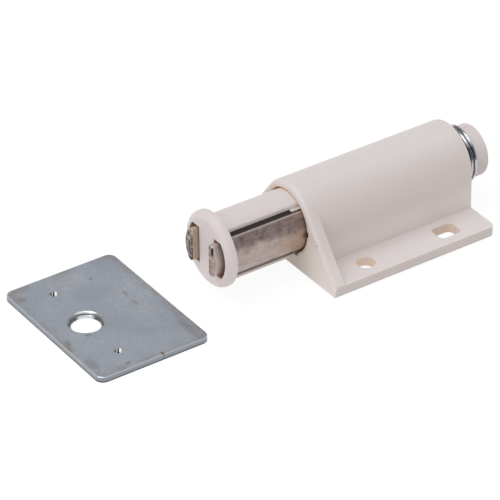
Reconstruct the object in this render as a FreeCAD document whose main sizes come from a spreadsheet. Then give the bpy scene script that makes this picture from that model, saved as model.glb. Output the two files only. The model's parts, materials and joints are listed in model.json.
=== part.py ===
import FreeCAD, Part
import math
import os
import re

import Sketcher

# Magnetic push latch with its strike plate, in millimetres.
# X runs across the latch and Y along it. The housing's front face is at y = 0, the plunger points to -Y,
# and the base stands on z = 0. The origin is the middle of the base's front edge.

SIZES = {
    # housing
    "housing_length": 40.0,
    "housing_width": 33.0,
    "flange_thickness": 2.1,
    "flange_corner": 1.5,
    "barrel_radius": 8.2,
    "barrel_axis_height": 10.0,
    "gusset_thickness": 2.4,
    "front_rim_round": 0.9,
    "bore_edge_round": 0.25,
    "wall_foot_round": 0.3,
    "lip_thickness": 1.5,
    "spring_gate_width": 8.4,
    # screw holes and slots in the flanges
    "hole_spacing": 24.4,
    "hole_front": 10.6,
    "hole_radius": 2.0,
    "slot_from_hole": 20.0,
    "slot_width": 4.2,
    "slot_length": 5.2,
    "slot_corner": 1.2,
    # plunger, measured from the bore's axis and the housing's front face
    "bore_axis_height": 9.8,
    "plunger_radius": 6.6,
    "plunger_clearance": 0.25,
    "head_radius": 8.1,
    "head_reach": 19.3,
    "head_thickness": 2.1,
    "head_round": 1.4,
    "head_back_round": 0.25,
    "rail_half_width": 3.4,
    "rail_underside": 4.8,
    "rail_edge_round": 0.5,
    "key_edge_round": 0.25,
    "end_block_show": 1.8,
    "carrier_depth": 1.6,
    "key_drop": 0.05,
    "key_clearance": 0.25,
    "lug_half_height": 0.6,
    "lug_rise": 0.5,
    "lug_front": 4.0,
    "lug_length": 14.0,
    "lug_clearance": 0.1,
    "lug_end_clearance": 0.3,
    "tongue_length": 3.0,
    "tongue_half_width": 2.2,
    "tongue_thickness": 0.7,
    "tongue_clearance": 0.05,
    "tail_radius": 5.6,
    "tail_clearance": 0.25,
    "tail_show": 6.4,
    "tail_round": 0.35,
    "tail_core_radius": 3.6,
    "tail_floor": 2.1,
    # magnet and pole plates
    "magnet_half_thickness": 4.2,
    "magnet_half_height": 4.7,
    "magnet_chamfer": 0.3,
    "magnet_clearance": 0.05,
    "pole_half_height": 4.6,
    "pole_inset": 0.05,
    "tip_half_gap": 2.8,
    "tip_reach": 1.5,
    "tip_inset": 1.05,
    "tip_half_height": 3.7,
    "tip_corner": 0.8,
    "tip_face_round": 0.3,
    "tip_gap": 0.45,
    "tip_side_gap": 1.0,
    # push and hold mechanism
    "travel": 13.0,
    "wire_radius": 0.5,
    "follower_arm": 12.0,
    "follower_bend": 0.8,
    "follower_lift": 0.3,
    "follower_clearance": 0.2,
    "pivot_clearance": 0.04,
    "pivot_pin_height": 1.0,
    "lane_offset": 2.1,
    "lane_clearance": 0.2,
    "track_depth": 1.5,
    "track_wall": 0.4,
    "tip_room": 0.7,
    "sleeve_wall": 0.8,
    "heart_lobe": 0.9,
    "heart_notch": 1.2,
    "heart_tail": 1.6,
    # spring
    "coil_wire": 0.6,
    "coil_inner_gap": 0.12,
    "coil_seat_gap": 0.12,
    "coil_gap": 0.04,
    "active_turns": 5.0,
    "lip_turns": 0.17,
    "outer_turns": 2.9,
    "outer_pitch": 0.93,
    # strike plate
    "strike_width": 36.0,
    "strike_length": 25.4,
    "strike_thickness": 1.2,
    "strike_corner": 1.8,
    "strike_edge_round": 0.3,
    "strike_offset": 3.4,
    "strike_centre": 40.95,
    "strike_hole_radius": 3.05,
    "strike_sink": 0.7,
    "strike_sink_round": 0.25,
    "strike_hole_offset": 4.65,
    "dimple_spacing": 23.8,
    "dimple_radius": 0.35,
    "dimple_depth": 0.8,
    "dimple_sink": 0.5,
}

# Places and radii, worked out from the sizes above
BORE = "(plunger_radius + plunger_clearance)"
HEAD_FRONT = "(0 - head_reach)"
HEAD_BACK = "(head_thickness - head_reach)"
KEY_BOTTOM = "(0 - plunger_radius - key_drop)"
LIP_FRONT = "(housing_length - lip_thickness)"
LIP_RADIUS = "(tail_radius + tail_clearance)"
POLE_RADIUS = "(plunger_radius - pole_inset)"
TIP_RADIUS = f"({POLE_RADIUS} - tip_inset)"
TRACK_FRONT = "(carrier_depth + tongue_length + tongue_clearance + track_wall)"
TIP_REST = f"({TRACK_FRONT} + tip_room + travel)"
SHOULDER = f"({TIP_REST} + tip_room + sleeve_wall)"
PIVOT = f"({TIP_REST} + sqrt(follower_arm ^ 2 - lane_offset ^ 2))"
WIRE_HEIGHT = "(follower_lift + wire_radius)"
RECESS_TOP = "(follower_lift + 2 * wire_radius + follower_clearance)"
LANE_OUTER = "(lane_offset + wire_radius + lane_clearance)"
LANE_INNER = "(lane_offset - wire_radius - lane_clearance)"
COIL_RADIUS = "(tail_radius + coil_inner_gap + coil_wire / 2)"

doc = FreeCAD.newDocument("PushLatch")
sheet = doc.addObject("Spreadsheet::Sheet", "Sizes")
working = doc.addObject("Spreadsheet::Sheet", "Working")


def fill_sheet():
    """Put every size in the sheet under its own name."""
    for row, (name, size) in enumerate(SIZES.items(), start=1):
        sheet.set(f"A{row}", name)
        sheet.set(f"B{row}", str(size))
        sheet.setAlias(f"B{row}", name)
    doc.recompute()


def formula(text):
    """The same formula, with each size named in its sheet."""
    return re.sub(r"\b(?!sqrt|asin)([a-z_]{3,})\b", r"Sizes.\1", text)


def value(text):
    """Number that a formula of sizes gives now, worked out on a sheet of its own."""
    working.set("A1", f"={formula(text)}")
    working.recompute()
    return float(working.get("A1"))


def bind(thing, name, text):
    """Tie a property to a formula of sizes."""
    thing.setExpression(name, formula(text))


# Sketches and features


def new_body(name):
    body = doc.addObject("PartDesign::Body", name)
    body.Label = name
    return body


def sketch_on(body, role, name, shift):
    """Sketch on one of the body's own planes, moved along the plane's axes by three formulas."""
    plane = next(item for item in body.Origin.OriginFeatures if item.Role == role)
    sketch = body.newObject("Sketcher::SketchObject", name)
    sketch.AttachmentSupport = (plane, [""])
    sketch.MapMode = "FlatFace"
    for axis, text in zip("xyz", shift):
        bind(sketch, f"AttachmentOffset.Base.{axis}", text)
    return sketch


def section(body, name, place, height="bore_axis_height"):
    """Upright sketch across the latch at y = place, centred on an axis at the given height."""
    return sketch_on(body, "XZ_Plane", name, ("0", height, f"0 - ({place})"))


def plan(body, name, height="0"):
    """Level sketch at a height."""
    return sketch_on(body, "XY_Plane", name, ("0", "0", height))


def side(body, name, height="bore_axis_height"):
    """Upright sketch along the latch, whose first axis lies at a height."""
    return sketch_on(body, "YZ_Plane", name, ("0", height, "0"))


def hold(sketch, kind, first, end, text):
    """Measure one end of a line, arc or circle from the sketch's origin."""
    index = sketch.addConstraint(Sketcher.Constraint(kind, -1, 1, first, end, value(text)))
    bind(sketch, f"Constraints[{index}]", text)


def size_of(sketch, first, text):
    index = sketch.addConstraint(Sketcher.Constraint("Radius", first, value(text)))
    bind(sketch, f"Constraints[{index}]", text)


def circle(sketch, radius, across="0", up="0"):
    centre = FreeCAD.Vector(value(across), value(up), 0)
    normal = FreeCAD.Vector(0, 0, 1)
    index = sketch.addGeometry(Part.Circle(centre, normal, value(radius)), False)
    hold(sketch, "DistanceX", index, 3, across)
    hold(sketch, "DistanceY", index, 3, up)
    size_of(sketch, index, radius)
    return index


def points_of(corners):
    return [FreeCAD.Vector(value(across), value(up), 0) for across, up in corners]


def polygon(sketch, corners):
    """Closed outline of straight lines through corners given by formulas."""
    points = points_of(corners)
    count = len(points)
    lines = [
        sketch.addGeometry(Part.LineSegment(points[i], points[(i + 1) % count]), False)
        for i in range(count)
    ]
    for i, line in enumerate(lines):
        following = lines[(i + 1) % count]
        sketch.addConstraint(Sketcher.Constraint("Coincident", line, 2, following, 1))
        hold(sketch, "DistanceX", line, 1, corners[i][0])
        hold(sketch, "DistanceY", line, 1, corners[i][1])
    return lines


def rectangle(sketch, left, right, low, high):
    return polygon(sketch, [(left, low), (right, low), (right, high), (left, high)])


def pad(body, sketch, name, length, backward=False):
    """Pad along the sketch's normal. A section's normal is -Y, so backward means towards the rear."""
    feature = body.newObject("PartDesign::Pad", name)
    feature.Profile = sketch
    feature.Reversed = backward
    bind(feature, "Length", length)
    doc.recompute()
    return feature


def pocket(body, sketch, name, length, forward=False):
    """Cut against the sketch's normal: a section cuts to the rear, a plan downwards unless forward."""
    before = body.Shape.Volume
    feature = body.newObject("PartDesign::Pocket", name)
    feature.Profile = sketch
    feature.Reversed = forward
    bind(feature, "Length", length)
    doc.recompute()
    if feature.Shape.isNull() or feature.Shape.Volume > before - 1e-4:
        raise RuntimeError(f"{name} cuts nothing")
    return feature


def revolve(body, sketch, name):
    feature = body.newObject("PartDesign::Revolution", name)
    feature.Profile = sketch
    feature.ReferenceAxis = (sketch, ["H_Axis"])
    feature.Angle = 360
    doc.recompute()
    return feature


def edges_where(feature, test):
    """Names of a feature's edges whose box passes the test."""
    numbered = enumerate(feature.Shape.Edges, start=1)
    return [f"Edge{number}" for number, edge in numbered if test(edge.BoundBox)]


def near(first, second):
    return abs(first - second) < 0.01


def dress(body, kind, name, feature, edges, radius):
    """Fillet or chamfer the named edges of a feature."""
    if not edges:
        raise RuntimeError(f"{name} finds no edge")
    finish = body.newObject(f"PartDesign::{kind}", name)
    finish.Base = (feature, edges)
    bind(finish, "Size" if kind == "Chamfer" else "Radius", radius)
    doc.recompute()
    return finish


# Housing


def housing_outside(body):
    """Flange, barrel with an arch top, and the gusset whose flanks meet the arch as tangents."""
    base = plan(body, "FlangeSketch")
    rectangle(base, "0 - housing_width / 2", "housing_width / 2", "0", "housing_length")
    pad(body, base, "Flange", "flange_thickness")
    arch = section(body, "ArchSketch", "0", "barrel_axis_height")
    circle(arch, "barrel_radius")
    pad(body, arch, "Arch", "housing_length", backward=True)
    walls = section(body, "WallSketch", "0", "0")
    rectangle(walls, "0 - barrel_radius", "barrel_radius", "0", "barrel_axis_height")
    pad(body, walls, "Walls", "housing_length", backward=True)
    gusset = section(body, "GussetSketch", "0", "0")
    half = "housing_width / 2"
    gusset_outline(gusset, half)
    return pad(body, gusset, "Gusset", "gusset_thickness", backward=True)


def gusset_outline(sketch, half):
    """Foot as wide as the flange, and two flanks that touch the arch's circle."""
    ring = circle(sketch, "barrel_radius", "0", "barrel_axis_height")
    sketch.setConstruction(ring, True)
    left = f"0 - {half}"
    foot = [(left, "flange_thickness"), (left, "0"), (half, "0"), (half, "flange_thickness")]
    # first guess of where a flank touches the ring, which the tangents then set
    slope = math.atan2(value(f"{half} - barrel_radius"), value("barrel_axis_height"))
    touch = value("barrel_radius") * math.cos(slope)
    rise = value("barrel_axis_height") + value("barrel_radius") * math.sin(slope)
    points = points_of(foot) + [FreeCAD.Vector(touch, rise, 0), FreeCAD.Vector(-touch, rise, 0)]
    lines = []
    for i, start in enumerate(points):
        end = points[(i + 1) % len(points)]
        lines.append(sketch.addGeometry(Part.LineSegment(start, end), False))
    for i, line in enumerate(lines):
        following = lines[(i + 1) % len(lines)]
        sketch.addConstraint(Sketcher.Constraint("Coincident", line, 2, following, 1))
    for line, (across, up) in zip(lines, foot):
        hold(sketch, "DistanceX", line, 1, across)
        hold(sketch, "DistanceY", line, 1, up)
    sketch.addConstraint(Sketcher.Constraint("Tangent", lines[3], 2, ring))
    sketch.addConstraint(Sketcher.Constraint("Tangent", lines[5], 1, ring))


def housing_rounds(body, solid):
    """Rounded flange corners at the rear, soft front rim, and a round at the foot of the walls."""
    half = value("housing_width / 2")
    length = value("housing_length")
    radius = value("barrel_radius")
    flange = value("flange_thickness")

    def rear_corner(box):
        upright = near(box.XLength, 0) and near(box.YLength, 0)
        return upright and near(abs(box.XMin), half) and near(box.YMin, length)

    corners = edges_where(solid, rear_corner)
    solid = dress(body, "Fillet", "FlangeCorners", solid, corners, "flange_corner")

    def wall_foot(box):
        level = near(box.ZMin, flange) and near(box.ZMax, flange)
        return level and near(box.XLength, 0) and near(abs(box.XMin), radius)

    feet = edges_where(solid, wall_foot)
    solid = dress(body, "Fillet", "WallFoot", solid, feet, "wall_foot_round")

    def front_rim(box):
        return near(box.YMin, 0) and near(box.YMax, 0) and box.ZMax > flange + 0.01

    rim = edges_where(solid, front_rim)
    dress(body, "Fillet", "FrontRim", solid, rim, "front_rim_round")


def housing_bore(body):
    """Bore with side and bottom key grooves, and the lip that the spring's last inner coil bears on."""
    bore = section(body, "BoreSketch", "0")
    circle(bore, BORE)
    solid = pocket(body, bore, "Bore", LIP_FRONT)
    radius = value(BORE)

    def bore_rim(box):
        return near(box.YMin, 0) and near(box.YMax, 0) and near(box.XMax, radius)

    rim = edges_where(solid, bore_rim)
    dress(body, "Fillet", "BoreRim", solid, rim, "bore_edge_round")
    mouth = section(body, "LipSketch", "0")
    circle(mouth, LIP_RADIUS)
    pocket(body, mouth, "LipMouth", "housing_length")
    grooves = section(body, "SideGrooveSketch", "0")
    reach = "(plunger_radius + lug_rise + plunger_clearance)"
    tall = "(lug_half_height + lug_clearance)"
    rectangle(grooves, f"0 - {reach}", reach, f"0 - {tall}", tall)
    pocket(body, grooves, "SideGrooves", "lug_front + lug_length + travel + lug_end_clearance")
    key = section(body, "KeyGrooveSketch", "0")
    wide = "(rail_half_width + key_clearance)"
    rectangle(key, f"0 - {wide}", wide, f"{KEY_BOTTOM} - key_clearance", "0")
    pocket(body, key, "KeyGroove", f"{SHOULDER} + travel + key_clearance")
    gate = section(body, "GateSketch", LIP_FRONT)
    outer = f"({COIL_RADIUS} + coil_wire / 2 + tail_clearance)"
    rectangle(gate, f"0 - {outer}", "0", "0 - spring_gate_width / 2", "spring_gate_width / 2")
    pocket(body, gate, "SpringGate", "lip_thickness")


def housing_flange_holes(body):
    """A round hole near the front and a slot near the rear in each flange."""
    holes = plan(body, "HoleSketch")
    for sign in ("hole_spacing / 2", "0 - hole_spacing / 2"):
        circle(holes, "hole_radius", sign, "hole_front")
    pocket(body, holes, "Holes", "flange_thickness", forward=True)
    slots = plan(body, "SlotSketch")
    low = "hole_front + slot_from_hole - slot_length / 2"
    high = "hole_front + slot_from_hole + slot_length / 2"
    rectangle(slots, "hole_spacing / 2 - slot_width / 2", "hole_spacing / 2 + slot_width / 2", low, high)
    rectangle(slots, "0 - hole_spacing / 2 - slot_width / 2", "slot_width / 2 - hole_spacing / 2", low, high)
    solid = pocket(body, slots, "Slots", "flange_thickness", forward=True)
    inner = value("hole_spacing / 2 - slot_width / 2")
    outer = value("hole_spacing / 2 + slot_width / 2")
    front = value(low)
    rear = value(high)

    def slot_corner(box):
        upright = near(box.XMin, box.XMax) and near(box.YMin, box.YMax)
        across = near(abs(box.XMin), inner) or near(abs(box.XMin), outer)
        return upright and across and (near(box.YMin, front) or near(box.YMin, rear))

    dress(body, "Fillet", "SlotCorners", solid, edges_where(solid, slot_corner), "slot_corner")


def housing_floor(body):
    """Fan-shaped recess under the floor for the follower, its pivot hole and the window for its tip."""
    recess = plan(body, "RecessSketch")
    room = "(wire_radius + follower_clearance)"
    tip = f"(lane_offset + {room})"
    front = f"{TIP_REST} - tip_room - follower_clearance"
    corners = [
        (f"0 - {tip}", front),
        (tip, front),
        (tip, TIP_REST),
        (room, f"{PIVOT} - wire_radius"),
        (room, f"{PIVOT} + {room}"),
        (f"0 - {room}", f"{PIVOT} + {room}"),
        (f"0 - {room}", f"{PIVOT} - wire_radius"),
        (f"0 - {tip}", TIP_REST),
    ]
    polygon(recess, corners)
    pocket(body, recess, "Recess", RECESS_TOP, forward=True)
    window = plan(body, "WindowSketch")
    rectangle(window, f"0 - {LANE_OUTER}", LANE_OUTER, front, f"{TIP_REST} + {room}")
    pocket(body, window, "Window", "bore_axis_height - plunger_radius", forward=True)
    hole = plan(body, "PivotSketch")
    circle(hole, "wire_radius + pivot_clearance", "0", PIVOT)
    pocket(body, hole, "PivotHole", f"{RECESS_TOP} + pivot_pin_height", forward=True)


def make_housing():
    body = new_body("housing")
    solid = housing_outside(body)
    housing_rounds(body, solid)
    housing_bore(body)
    housing_flange_holes(body)
    housing_floor(body)
    return body


# Plunger


def make_carrier():
    """Head disc, top and bottom rails and the end block, open at the sides for magnet and pole plates."""
    body = new_body("plunger_carrier")
    profile = side(body, "CarrierProfile")
    corners = [
        (HEAD_FRONT, "0"),
        (HEAD_FRONT, "head_radius"),
        (HEAD_BACK, "head_radius"),
        (HEAD_BACK, "plunger_radius"),
        ("carrier_depth", "plunger_radius"),
        ("carrier_depth", "0"),
    ]
    polygon(profile, corners)
    solid = revolve(body, profile, "CarrierBody")
    radius = value("head_radius")

    def head_edge(place):
        return lambda box: near(box.YMin, place) and near(box.YMax, place) and near(box.XMax, radius)

    front = edges_where(solid, head_edge(value(HEAD_FRONT)))
    solid = dress(body, "Fillet", "HeadRound", solid, front, "head_round")
    back = edges_where(solid, head_edge(value(HEAD_BACK)))
    dress(body, "Fillet", "HeadBackRound", solid, back, "head_back_round")
    key = section(body, "KeySketch", HEAD_BACK)
    rectangle(key, "0 - rail_half_width", "rail_half_width", KEY_BOTTOM, "0")
    pad(body, key, "Key", f"carrier_depth - {HEAD_BACK}", backward=True)
    carrier_windows(body)
    carrier_tongues(body)
    return body


def carrier_windows(body):
    """Room for the magnet between the rails, flat flanks, the wide end block and the rails' soft edges."""
    beyond = "(plunger_radius + key_drop)"
    opening = section(body, "SideWindowSketch", HEAD_BACK)
    rectangle(opening, f"0 - {beyond}", beyond, "0 - rail_underside", "rail_underside")
    pocket(body, opening, "SideWindow", f"0 - end_block_show - {HEAD_BACK}")
    flanks = section(body, "RailFlankSketch", HEAD_BACK)
    rectangle(flanks, "rail_half_width", beyond, f"0 - {beyond}", beyond)
    rectangle(flanks, f"0 - {beyond}", "0 - rail_half_width", f"0 - {beyond}", beyond)
    pocket(body, flanks, "RailFlanks", f"carrier_depth - {HEAD_BACK}")
    block = section(body, "EndBlockSketch", "0 - end_block_show")
    wide = "(magnet_half_thickness - magnet_clearance)"
    rectangle(block, f"0 - {wide}", wide, "0 - rail_underside", "rail_underside")
    solid = pad(body, block, "EndBlock", "end_block_show + carrier_depth", backward=True)
    half = value("rail_half_width")

    def rail_edge(height):
        level = value(f"bore_axis_height + {height}")
        return lambda box: near(box.ZMin, level) and near(abs(box.XMin), half) and box.YLength > 1

    top = edges_where(solid, rail_edge("sqrt(plunger_radius ^ 2 - rail_half_width ^ 2)"))
    solid = dress(body, "Fillet", "RailEdges", solid, top, "rail_edge_round")
    low = edges_where(solid, rail_edge(KEY_BOTTOM))
    dress(body, "Fillet", "KeyEdges", solid, low, "key_edge_round")
    head_slots(body)


def head_slots(body):
    """Two slots through the head, straight on the inside and curved on the outside."""
    inner = "tip_half_gap - tip_gap / 2"
    tall = "tip_half_height + tip_gap"
    radius = f"{TIP_RADIUS} + tip_side_gap"
    for name, sign in (("Right", 1), ("Left", -1)):
        slot = section(body, f"{name}SlotSketch", HEAD_FRONT)
        d_outline(slot, sign, inner, tall, radius)
        pocket(body, slot, f"{name}Slot", "head_thickness")


def d_outline(sketch, sign, inner, tall, radius):
    """D shape: straight inner side, level ends, and an arc about the axis on the outside."""
    side_text = (lambda text: text) if sign > 0 else (lambda text: f"0 - ({text})")
    reach = f"sqrt(({radius}) ^ 2 - ({tall}) ^ 2)"
    flat = value(inner) * sign
    high = value(tall)
    out = value(reach) * sign
    round_ = value(radius)
    top_in = FreeCAD.Vector(flat, high, 0)
    low_in = FreeCAD.Vector(flat, -high, 0)
    top_out = FreeCAD.Vector(out, high, 0)
    low_out = FreeCAD.Vector(out, -high, 0)
    middle = FreeCAD.Vector(round_ * sign, 0, 0)
    inside = sketch.addGeometry(Part.LineSegment(top_in, low_in), False)
    low = sketch.addGeometry(Part.LineSegment(low_in, low_out), False)
    top = sketch.addGeometry(Part.LineSegment(top_out, top_in), False)
    arc = sketch.addGeometry(Part.Arc(low_out, middle, top_out), False)
    low_end, top_end = (1, 2) if sign > 0 else (2, 1)
    sketch.addConstraint(Sketcher.Constraint("Coincident", inside, 2, low, 1))
    sketch.addConstraint(Sketcher.Constraint("Coincident", low, 2, arc, low_end))
    sketch.addConstraint(Sketcher.Constraint("Coincident", arc, top_end, top, 1))
    sketch.addConstraint(Sketcher.Constraint("Coincident", top, 2, inside, 1))
    for line, across, up in (
        (inside, side_text(inner), tall),
        (low, side_text(inner), f"0 - ({tall})"),
        (top, side_text(reach), tall),
    ):
        hold(sketch, "DistanceX", line, 1, across)
        hold(sketch, "DistanceY", line, 1, up)
    hold(sketch, "DistanceX", low, 2, side_text(reach))
    hold(sketch, "DistanceY", low, 2, f"0 - ({tall})")
    size_of(sketch, arc, radius)


def carrier_tongues(body):
    """A tongue on each rail that plugs into the sleeve."""
    for name, low, high in tongue_heights("0"):
        sketch = section(body, f"{name}TongueSketch", "carrier_depth")
        rectangle(sketch, "0 - tongue_half_width", "tongue_half_width", low, high)
        pad(body, sketch, f"{name}Tongue", "tongue_length", backward=True)


def tongue_heights(room):
    """Names and heights of the two tongues, or of their sockets with some room all round."""
    near_axis = f"rail_underside - {room}"
    far = f"rail_underside + tongue_thickness + {room}"
    return (("Top", near_axis, far), ("Low", f"0 - ({far})", f"0 - ({near_axis})"))


def make_sleeve():
    """Guide sleeve with keys, the tail with its moulding core, and the heart-shaped track."""
    body = new_body("plunger_sleeve")
    profile = side(body, "SleeveProfile")
    tail_end = "housing_length + tail_show"
    core_front = f"{SHOULDER} + tail_floor"
    corners = [
        ("carrier_depth", "0"),
        ("carrier_depth", "plunger_radius"),
        (SHOULDER, "plunger_radius"),
        (SHOULDER, "tail_radius"),
        (tail_end, "tail_radius"),
        (tail_end, "tail_core_radius"),
        (core_front, "tail_core_radius"),
        (core_front, "0"),
    ]
    polygon(profile, corners)
    solid = revolve(body, profile, "SleeveBody")
    rear = value(tail_end)
    radius = value("tail_radius")

    def tail_edge(box):
        return near(box.YMin, rear) and near(box.XMax, radius)

    dress(body, "Fillet", "TailRound", solid, edges_where(solid, tail_edge), "tail_round")
    key = section(body, "SleeveKeySketch", "carrier_depth")
    rectangle(key, "0 - rail_half_width", "rail_half_width", KEY_BOTTOM, "0")
    pad(body, key, "SleeveKey", f"{SHOULDER} - carrier_depth", backward=True)
    lugs = section(body, "LugSketch", "lug_front")
    reach = "(plunger_radius + lug_rise)"
    rectangle(lugs, f"0 - {reach}", reach, "0 - lug_half_height", "lug_half_height")
    pad(body, lugs, "Lugs", "lug_length", backward=True)
    wide = "(tongue_half_width + tongue_clearance)"
    for name, low, high in tongue_heights("tongue_clearance"):
        sketch = section(body, f"{name}SocketSketch", "carrier_depth")
        rectangle(sketch, f"0 - {wide}", wide, low, high)
        pocket(body, sketch, f"{name}Socket", "tongue_length + tongue_clearance")
    sleeve_track(body)
    return body


def sleeve_track(body):
    """Loop round a heart-shaped island: straight lanes on both sides, open at both ends."""
    low = f"bore_axis_height + {KEY_BOTTOM}"
    track = plan(body, "TrackSketch", low)
    rectangle(track, f"0 - {LANE_OUTER}", LANE_OUTER, TRACK_FRONT, f"{TIP_REST} + tip_room")
    lobes = f"{TRACK_FRONT} + 2 * tip_room"
    rear = f"{TIP_REST} - tip_room - wire_radius / 2"
    corners = [
        (LANE_INNER, f"{lobes} + heart_lobe"),
        (LANE_INNER, f"{rear} - heart_tail"),
        ("0", rear),
        (f"0 - {LANE_INNER}", f"{rear} - heart_tail"),
        (f"0 - {LANE_INNER}", f"{lobes} + heart_lobe"),
        (f"0 - {LANE_INNER} * 3 / 4", lobes),
        ("0", f"{lobes} + heart_notch"),
        (f"{LANE_INNER} * 3 / 4", lobes),
    ]
    polygon(track, corners)
    pocket(body, track, "Track", "track_depth", forward=True)


# Magnet and pole plates


def make_magnet():
    body = new_body("magnet")
    block = section(body, "MagnetSketch", HEAD_BACK)
    thick = "magnet_half_thickness"
    rectangle(block, f"0 - {thick}", thick, "0 - magnet_half_height", "magnet_half_height")
    length = f"0 - end_block_show - magnet_clearance - {HEAD_BACK}"
    solid = pad(body, block, "Block", length, backward=True)
    half = value(thick)

    def long_edge(box):
        return near(abs(box.XMin), half) and near(box.ZLength, 0) and box.YLength > 1

    dress(body, "Chamfer", "BlockEdges", solid, edges_where(solid, long_edge), "magnet_chamfer")
    return body


def make_pole_plate(name, sign):
    """Bar of D section that shows between the rails, with a narrower tip through the head's slot."""
    body = new_body(name)
    tip = section(body, "TipSketch", f"{HEAD_FRONT} - tip_reach")
    d_outline(tip, sign, "tip_half_gap", "tip_half_height", TIP_RADIUS)
    solid = pad(body, tip, "Tip", "head_thickness + tip_reach", backward=True)
    front = value(f"{HEAD_FRONT} - tip_reach")
    back = value(HEAD_BACK)

    def tip_corner(box):
        return near(box.YMin, front) and near(box.YMax, back)

    corners = edges_where(solid, tip_corner)
    solid = dress(body, "Fillet", "TipCorners", solid, corners, "tip_corner")

    def tip_face(box):
        return near(box.YMin, front) and near(box.YMax, front)

    face = edges_where(solid, tip_face)
    dress(body, "Fillet", "TipFace", solid, face, "tip_face_round")
    wide = section(body, "BarSketch", HEAD_BACK)
    d_outline(wide, sign, "magnet_half_thickness", "pole_half_height", POLE_RADIUS)
    pad(body, wide, "Bar", f"carrier_depth - {HEAD_BACK}", backward=True)
    return body


# Spring and cam follower


def coil_path():
    """Centre line of the spring: a closed coil, open coils, the way through the lip, the outer coils."""
    wire = value("coil_wire")
    seat = value(f"{SHOULDER} + coil_wire / 2 + coil_seat_gap")
    inner = value(f"{LIP_FRONT} - coil_wire / 2 - coil_seat_gap")
    outer = value("housing_length + coil_wire / 2 + coil_seat_gap")
    pitch = wire + value("coil_gap")
    active = value("active_turns")
    lip = value("lip_turns")
    turns_out = value("outer_turns")
    # turns at which the path bends, with the place along the latch at each
    knots = [(0.0, seat), (1.0, seat + pitch), (1.0 + active, inner - pitch), (2.0 + active, inner)]
    knots.append((2.0 + active + lip, outer))
    knots.append((2.0 + active + lip + turns_out, outer + value("outer_pitch") * turns_out))
    gate_turn = 2.0 + active + lip / 2
    radius = value(COIL_RADIUS)
    height = value("bore_axis_height")
    steps = 16
    points = []
    total = knots[-1][0]
    for i in range(int(total * steps) + 1):
        turn = i / steps
        start, end = next(pair for pair in zip(knots, knots[1:]) if turn <= pair[1][0] + 1e-9)
        share = (turn - start[0]) / (end[0] - start[0])
        place = start[1] + share * (end[1] - start[1])
        angle = math.pi + (turn - gate_turn) * 2 * math.pi
        points.append(FreeCAD.Vector(radius * math.cos(angle), place, height + radius * math.sin(angle)))
    return points


def make_spring():
    """Steel compression spring between the plunger's shoulder and the housing's lip."""
    curve = Part.BSplineCurve()
    curve.interpolate(coil_path())
    path = Part.Wire([curve.toShape()])
    start = curve.value(curve.FirstParameter)
    direction = curve.tangent(curve.FirstParameter)[0]
    ring = Part.Wire([Part.Circle(start, direction, value("coil_wire / 2")).toShape()])
    shape = path.makePipeShell([ring], True, True)
    spring = doc.addObject("Part::Feature", "spring")
    spring.Shape = shape
    spring.Label = "spring"
    return spring


def make_follower():
    """Bent wire: a tip that stands in the track, an arm under the floor, and a pin to turn on."""
    body = new_body("cam_follower")
    path = side(body, "WirePath", "0")
    tip_top = f"bore_axis_height + {KEY_BOTTOM} + track_depth - follower_clearance"
    corners = [
        ("0 - follower_arm", tip_top),
        ("0 - follower_arm", f"{WIRE_HEIGHT} + follower_bend"),
        ("follower_bend - follower_arm", WIRE_HEIGHT),
        ("0 - follower_bend", WIRE_HEIGHT),
        ("0", f"{WIRE_HEIGHT} + follower_bend"),
        ("0", f"{RECESS_TOP} + pivot_pin_height - follower_clearance"),
    ]
    bent_wire(path, corners, "follower_bend")
    ring = sketch_on(body, "XY_Plane", "WireSection", ("0", "0 - follower_arm", tip_top))
    circle(ring, "wire_radius")
    pipe = body.newObject("PartDesign::AdditivePipe", "Wire")
    pipe.Profile = ring
    pipe.Spine = (path, [])
    bind(body, "Placement.Base.y", PIVOT)
    body.Placement.Rotation = FreeCAD.Rotation(FreeCAD.Vector(0, 0, 1), 1)
    bind(body, "Placement.Rotation.Angle", "asin(lane_offset / follower_arm)")
    doc.recompute()
    return body


def bent_wire(path, corners, bend):
    """Three straight runs joined by two bends, each a quarter circle that turns to the left."""
    points = points_of(corners)
    edges = []
    for i, (start, end) in enumerate(zip(points, points[1:])):
        chord = end - start
        bulge = FreeCAD.Vector(chord.y, -chord.x, 0) * ((math.sqrt(2) - 1) / 2)
        middle = (start + end) / 2 + bulge
        edge = Part.Arc(start, middle, end) if i % 2 else Part.LineSegment(start, end)
        edges.append(path.addGeometry(edge, False))
    for i in (0, 2, 4):
        for end in (1, 2):
            across, up = corners[i + end - 1]
            hold(path, "DistanceX", edges[i], end, across)
            hold(path, "DistanceY", edges[i], end, up)
    for i in (1, 3):
        path.addConstraint(Sketcher.Constraint("Coincident", edges[i - 1], 2, edges[i], 1))
        path.addConstraint(Sketcher.Constraint("Coincident", edges[i], 2, edges[i + 1], 1))
        size_of(path, edges[i], bend)


# Strike plate


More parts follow.
